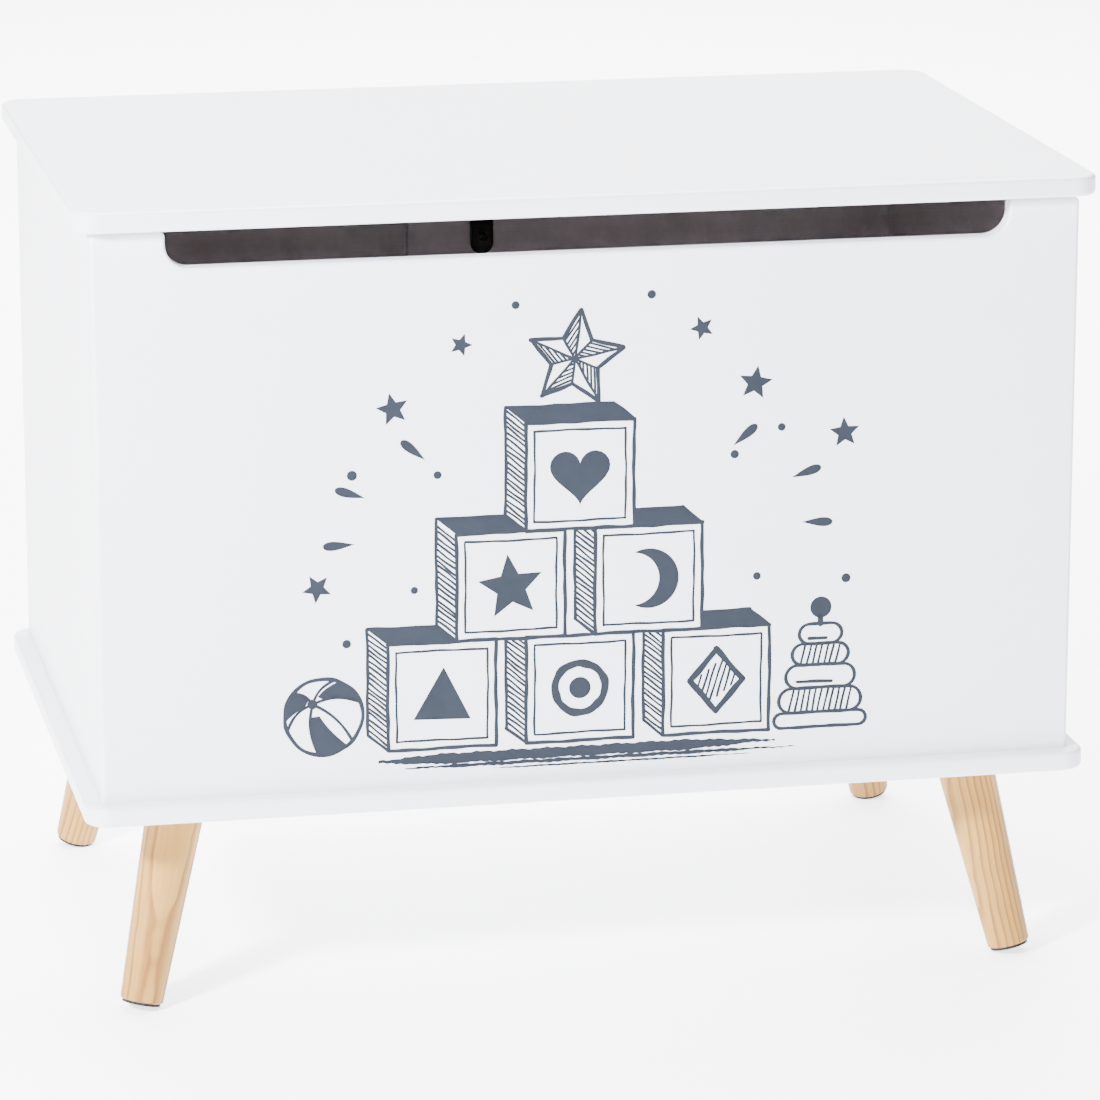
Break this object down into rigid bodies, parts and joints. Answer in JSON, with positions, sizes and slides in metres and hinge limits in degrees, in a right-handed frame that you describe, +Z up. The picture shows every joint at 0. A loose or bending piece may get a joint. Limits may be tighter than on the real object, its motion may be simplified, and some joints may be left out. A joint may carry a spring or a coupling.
{
  "type": "toy chest",
  "caption": "White wooden toy chest with a finger slot in the front panel, splayed tapered wooden legs and a rear-hinged lid held by a torsion stay.",
  "frame": {"origin": "on the floor, below the middle of the base board", "axes": "+Z up, -Y the front with the finger slot, +X to the right of someone who faces the front"},
  "size_m": [0.6, 0.41, 0.4841],
  "materials": {
    "white_lacquer": "satin white lacquer over solid board",
    "pine": "clear satin varnish on turned pine",
    "beech": "plain fluted dowel",
    "zinc_steel": "bright zinc plate",
    "black_steel": "black powder coat",
    "black_rubber": "matt rubber"
  },
  "bodies": {
    "chest": {"base_board": "white_lacquer", "front_panel": "white_lacquer", "back_panel": "white_lacquer", "side_panel_left": "white_lacquer", "side_panel_right": "white_lacquer", "stay_rail": "white_lacquer", "leg_front_left": "pine", "foot_pad_front_left": "black_rubber", "leg_bolt_front_left": "zinc_steel", "tee_nut_front_left": "zinc_steel", "leg_front_right": "pine", "foot_pad_front_right": "black_rubber", "leg_bolt_front_right": "zinc_steel", "tee_nut_front_right": "zinc_steel", "leg_back_left": "pine", "foot_pad_back_left": "black_rubber", "leg_bolt_back_left": "zinc_steel", "tee_nut_back_left": "zinc_steel", "leg_back_right": "pine", "foot_pad_back_right": "black_rubber", "leg_bolt_back_right": "zinc_steel", "tee_nut_back_right": "zinc_steel", "base_screws": "zinc_steel", "corner_dowels": "beech", "hinge_left_case_leaf": "zinc_steel", "hinge_left_pin": "zinc_steel", "hinge_right_case_leaf": "zinc_steel", "hinge_right_pin": "zinc_steel", "case_hinge_screws": "zinc_steel", "stay_strap": "black_steel", "stay_barrel": "black_steel", "strap_screws": "black_steel", "lid_bumpers": "black_rubber"},
    "lid": {"lid_board": "white_lacquer", "hinge_left_lid_leaf": "zinc_steel", "hinge_right_lid_leaf": "zinc_steel", "lid_hinge_screws": "zinc_steel", "stay_lid_arm": "black_steel", "stay_spindle": "black_steel", "stay_arm_screws": "black_steel"}
  },
  "joints": [
    {"name": "lid_hinge", "type": "hinge", "parent": "chest", "child": "lid", "pos_m": [0, 0.2, 0.4705], "axis": [-1, 0, 0], "range_deg": [0, 95]}
  ]
}
